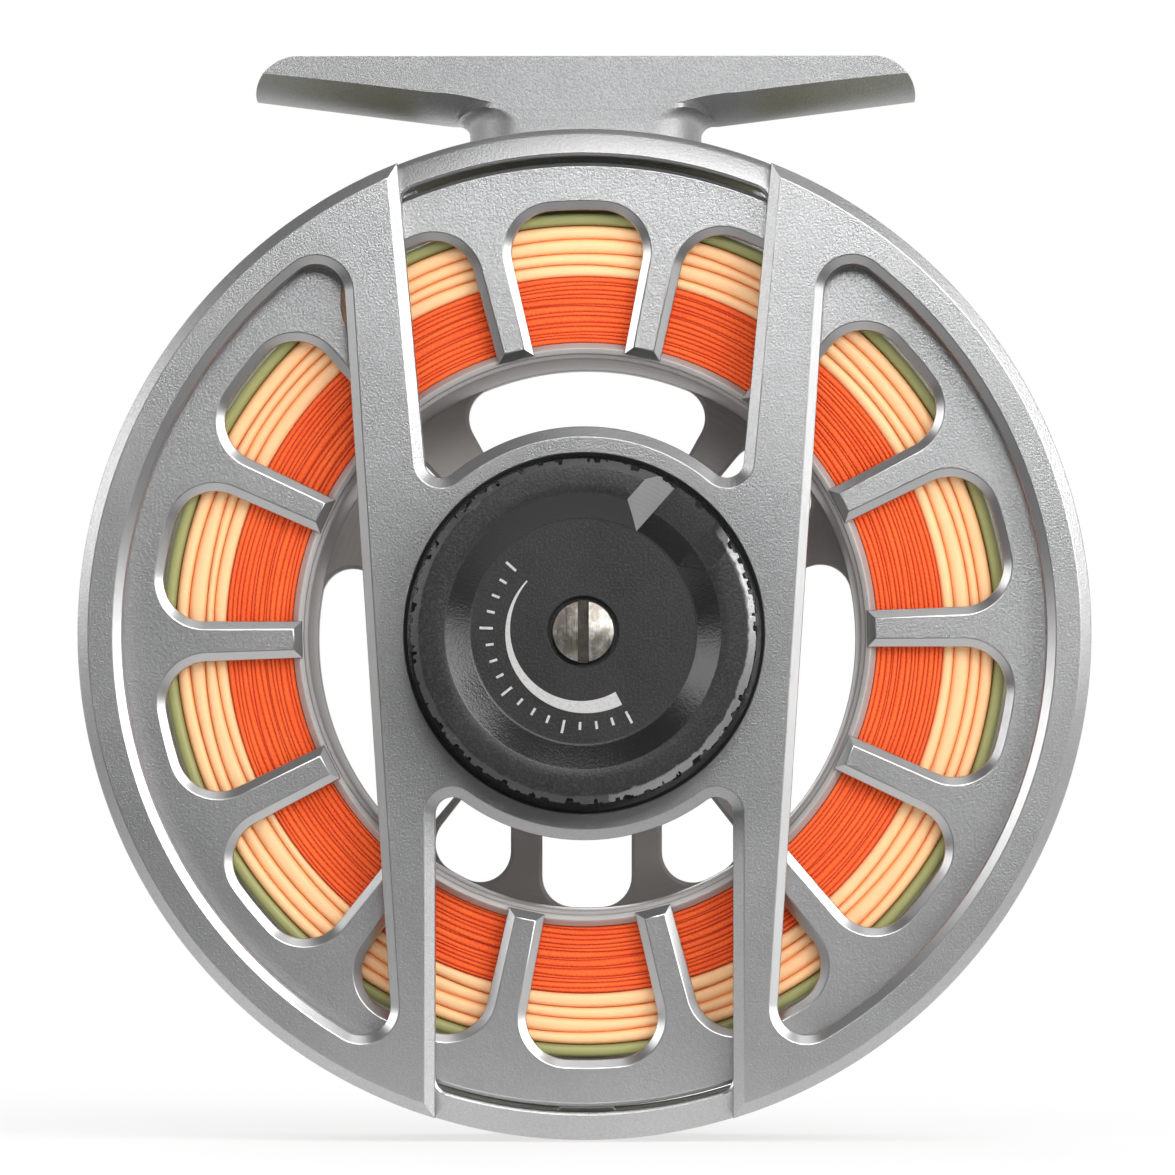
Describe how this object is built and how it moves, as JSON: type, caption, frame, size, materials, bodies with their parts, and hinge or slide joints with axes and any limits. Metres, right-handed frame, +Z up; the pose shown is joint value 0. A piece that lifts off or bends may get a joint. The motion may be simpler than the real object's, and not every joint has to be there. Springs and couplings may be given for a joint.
{
  "type": "fly reel",
  "caption": "Open-cage large-arbor fly reel on a saddle foot, with a pull-off ported spool, turning handle, wound line and backing, and a clicking disc drag set by a fluted knob.",
  "frame": {"origin": "the lowest line of the foot's saddle, at the middle of the foot's length and width", "axes": "+X along the foot, +Z up from the reel to the rod, -Y the side of the drag knob; the spool's axis is parallel to Y, 52.5 mm below the origin"},
  "size_m": [0.096, 0.0568, 0.1035],
  "materials": {
    "silver_anodised": "satin bead-blasted and anodised",
    "foot_anodised": "satin bead-blasted and anodised",
    "steel": "turned",
    "inner_aluminium": "turned",
    "seal_rubber": "matt",
    "carbon": "woven carbon",
    "ball_steel": "polished",
    "spool_anodised": "satin bead-blasted and anodised",
    "orange_backing": "braided",
    "peach_line": "satin coated",
    "olive_line": "satin coated",
    "black_handle": "satin",
    "bronze": "turned",
    "black_anodised": "satin black anodised, worn at the edges"
  },
  "bodies": {
    "frame": {"frame": "silver_anodised", "reel_foot": "foot_anodised", "foot_screws": "steel", "spindle": "steel", "knob_screw": "steel", "drag_cover": "inner_aluminium", "cover_screws": "steel", "cover_seal": "seal_rubber", "shaft_seal": "seal_rubber", "click_ring": "steel", "pressure_pins": "steel", "pressure_plate": "steel", "drag_springs": "steel", "stator_disc": "steel", "bearing_inner_races": "steel", "spindle_nut": "steel"},
    "drag_rotor": {"drag_rotor": "inner_aluminium", "carbon_disc_rear": "carbon", "carbon_disc_front": "carbon", "clutch_cup": "steel", "clutch_rollers": "steel"},
    "drive_hub": {"drive_hub": "inner_aluminium", "bearing_outer_races": "steel", "bearing_balls": "ball_steel", "bearing_spacer": "inner_aluminium"},
    "spool": {"spool": "spool_anodised", "spool_cap": "spool_anodised", "cap_screws": "steel", "retaining_ring": "steel", "counterweight": "spool_anodised", "counterweight_screw": "steel", "handle_post": "steel", "backing": "orange_backing", "running_line": "peach_line", "line_head": "olive_line"},
    "handle": {"handle_knob": "black_handle", "handle_bushings": "bronze"},
    "drag_knob": {"drag_knob": "black_anodised", "drag_nut": "bronze", "thrust_washer": "steel", "click_spring": "steel"}
  },
  "joints": [
    {"name": "drag_turn", "type": "hinge", "parent": "frame", "child": "drag_rotor", "pos_m": [0, 0, -0.0525], "axis": [0, 1, 0], "continuous": true},
    {"name": "clutch_turn", "type": "hinge", "parent": "drag_rotor", "child": "drive_hub", "pos_m": [0, 0, -0.0525], "axis": [0, 1, 0], "continuous": true},
    {"name": "spool_pull", "type": "slide", "parent": "drive_hub", "child": "spool", "axis": [0, 1, 0], "range_m": [0, 0.032]},
    {"name": "handle_spin", "type": "hinge", "parent": "spool", "child": "handle", "pos_m": [0, 0.0235, -0.087], "axis": [0, 1, 0], "continuous": true},
    {"name": "knob_turn", "type": "hinge", "parent": "frame", "child": "drag_knob", "pos_m": [0, 0, -0.0525], "axis": [0, 1, 0], "range_deg": [-150, 150]}
  ]
}
